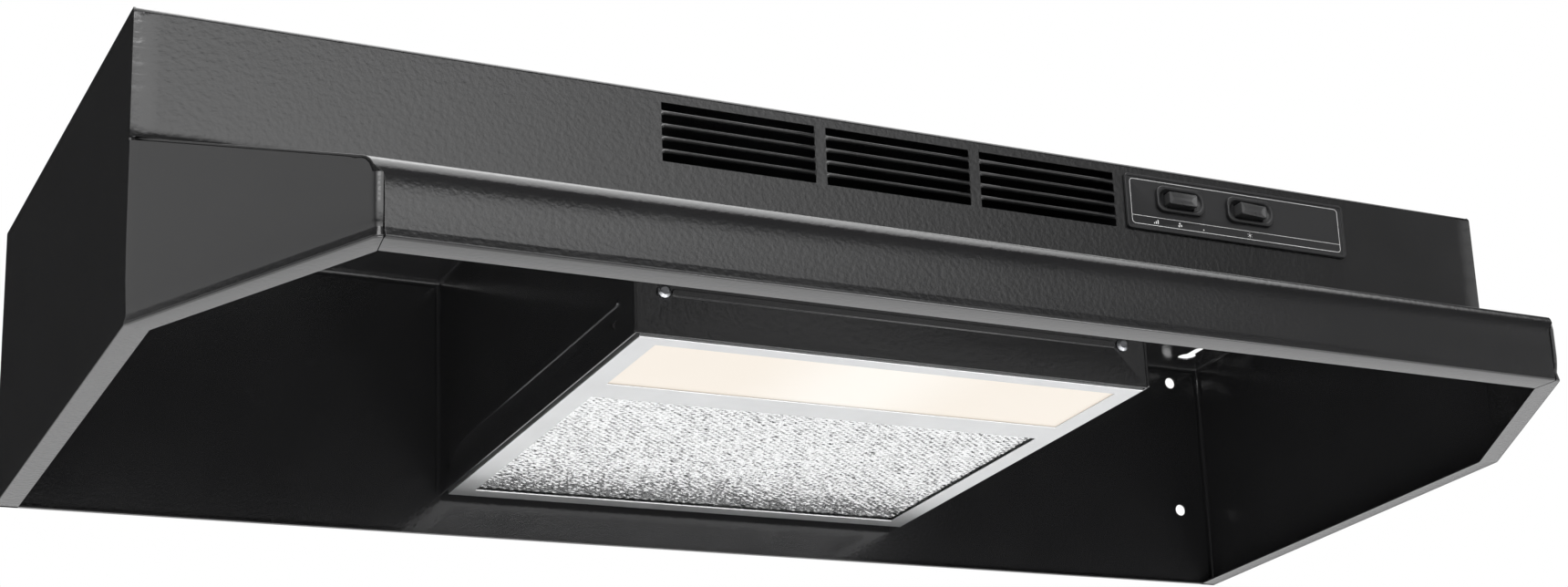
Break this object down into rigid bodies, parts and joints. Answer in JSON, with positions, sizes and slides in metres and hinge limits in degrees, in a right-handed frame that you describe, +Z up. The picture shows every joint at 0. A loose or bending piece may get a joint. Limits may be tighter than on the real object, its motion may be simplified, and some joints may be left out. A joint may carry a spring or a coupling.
{
  "type": "under cabinet range hood",
  "caption": "Under-cabinet kitchen range hood with a mitred visor, louvered front, central filter box with lamp and fan, and rocker switches.",
  "frame": {"origin": "under the middle of the hood, level with its rim", "axes": "+Z up, +Y towards the wall, +X to the right seen from the front"},
  "size_m": [0.762, 0.4444, 0.1524],
  "materials": {
    "black_enamel": "gloss black enamel with a fine orange peel",
    "switch_plastic": "satin black moulding",
    "rocker_plastic": "semi-gloss black moulding",
    "brass": "bright stamped brass",
    "filter_aluminium": "rolled mill finish",
    "expanded_foil": "bright expanded foil",
    "fan_aluminium": "stamped mill finish",
    "carbon_felt": "matt black felt with carbon grains",
    "frosted_lens": "frosted translucent white",
    "zinc_steel": "zinc-plated",
    "lamination_steel": "stacked laminations with an oxide film",
    "enamelled_copper": "varnished winding",
    "sintered_bronze": "porous, oiled",
    "white_ceramic": "glazed white",
    "frosted_glass": "frosted inside",
    "rubber": "matt"
  },
  "bodies": {
    "canopy": {"top_panel": "black_enamel", "front_panel": "black_enamel", "visor": "black_enamel", "side_panel_left": "black_enamel", "side_panel_right": "black_enamel", "back_panel": "black_enamel", "fan_box_left": "black_enamel", "fan_box_right": "black_enamel", "fan_box_front": "black_enamel", "orifice_plate": "black_enamel", "switch_plate": "switch_plastic", "fan_switch": "switch_plastic", "light_switch": "switch_plastic", "fan_terminal_1": "brass", "fan_terminal_2": "brass", "fan_terminal_3": "brass", "light_terminal_1": "brass", "light_terminal_2": "brass", "filter_spring_left": "zinc_steel", "filter_spring_right": "zinc_steel", "stator_stack": "lamination_steel", "motor_coil": "enamelled_copper", "motor_bracket": "zinc_steel", "motor_end_upper": "zinc_steel", "motor_end_lower": "zinc_steel", "motor_bearing_upper": "sintered_bronze", "motor_bearing_lower": "sintered_bronze", "motor_bolt_left": "zinc_steel", "motor_bolt_right": "zinc_steel", "motor_nut_left": "zinc_steel", "motor_nut_right": "zinc_steel", "motor_spacer_left": "zinc_steel", "motor_spacer_right": "zinc_steel", "bracket_screw_left": "zinc_steel", "bracket_screw_right": "zinc_steel", "lamp_housing": "zinc_steel", "lamp_socket": "white_ceramic", "socket_bracket": "zinc_steel", "socket_screw": "zinc_steel", "bulb_glass": "frosted_glass", "bulb_cap": "brass", "wiring_cover": "zinc_steel", "wiring_knockout": "zinc_steel", "cover_screw": "zinc_steel", "ground_screw": "zinc_steel", "lead_bushing": "rubber", "motor_lead": "rubber", "front_wall_screw_left": "zinc_steel", "front_wall_screw_right": "zinc_steel"},
    "fan": {"fan_blade": "fan_aluminium", "fan_clip": "zinc_steel", "motor_shaft": "zinc_steel", "motor_rotor": "lamination_steel"},
    "filter": {"filter_frame": "filter_aluminium", "filter_mesh": "expanded_foil", "charcoal_pad": "carbon_felt", "light_lens": "frosted_lens"},
    "fan_rocker": {"fan_rocker": "rocker_plastic"},
    "light_rocker": {"light_rocker": "rocker_plastic"}
  },
  "joints": [
    {"name": "fan_spin", "type": "hinge", "parent": "canopy", "child": "fan", "pos_m": [0, 0.11425, 0.066], "axis": [0, 0, 1], "continuous": true},
    {"name": "filter_drop", "type": "hinge", "parent": "canopy", "child": "filter", "pos_m": [0, 0.21375, 0.02675], "axis": [1, 0, 0], "range_deg": [0, 80]},
    {"name": "fan_rocker_tilt", "type": "hinge", "parent": "canopy", "child": "fan_rocker", "pos_m": [0.173, -0.08355, 0.1332], "axis": [0, 0, 1], "range_deg": [-10, 10]},
    {"name": "light_rocker_tilt", "type": "hinge", "parent": "canopy", "child": "light_rocker", "pos_m": [0.2195, -0.08355, 0.1332], "axis": [0, 0, 1], "range_deg": [-12, 0]}
  ]
}
